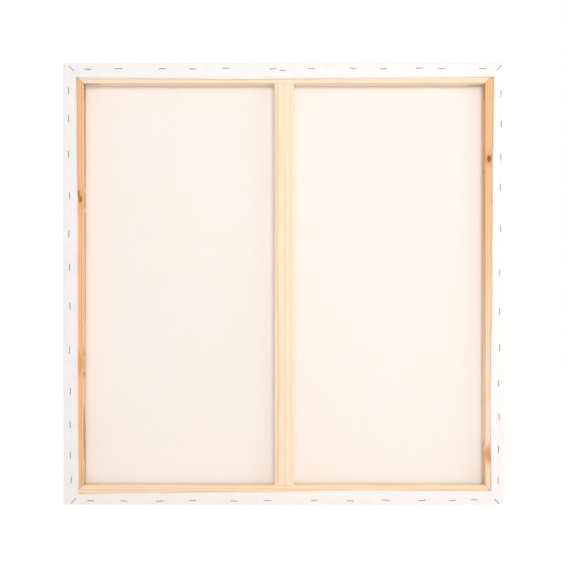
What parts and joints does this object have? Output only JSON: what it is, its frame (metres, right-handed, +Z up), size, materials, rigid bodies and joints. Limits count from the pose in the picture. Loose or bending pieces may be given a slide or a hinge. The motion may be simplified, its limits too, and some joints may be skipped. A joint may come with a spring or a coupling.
{
  "type": "stretched canvas",
  "caption": "Square stretched artist's canvas: primed cloth wrapped over a mitred pine frame with an upright centre brace and stapled on the back.",
  "frame": {"origin": "middle of the bottom edge, midway between the staple crowns and the painting side", "axes": "+Z up, +Y out of the painting side, +X to the right of someone looking at the open back"},
  "size_m": [0.8, 0.0198, 0.8],
  "materials": {
    "pine_rail": "planed pale pine, bare",
    "pine_stile": "planed orange-toned pine with knots, bare",
    "pine_brace": "planed straight-grained pine, bare",
    "primed_cloth": "cotton canvas, matt white primer outside, raw cream inside",
    "staple_wire": "galvanised flat wire"
  },
  "bodies": {
    "root": {"top_bar": "pine_rail", "bottom_bar": "pine_rail", "left_bar": "pine_stile", "right_bar": "pine_stile", "centre_brace": "pine_brace", "canvas": "primed_cloth", "top_staples": "staple_wire", "bottom_staples": "staple_wire", "left_staples": "staple_wire", "right_staples": "staple_wire", "corner_staples": "staple_wire"}
  },
  "joints": []
}
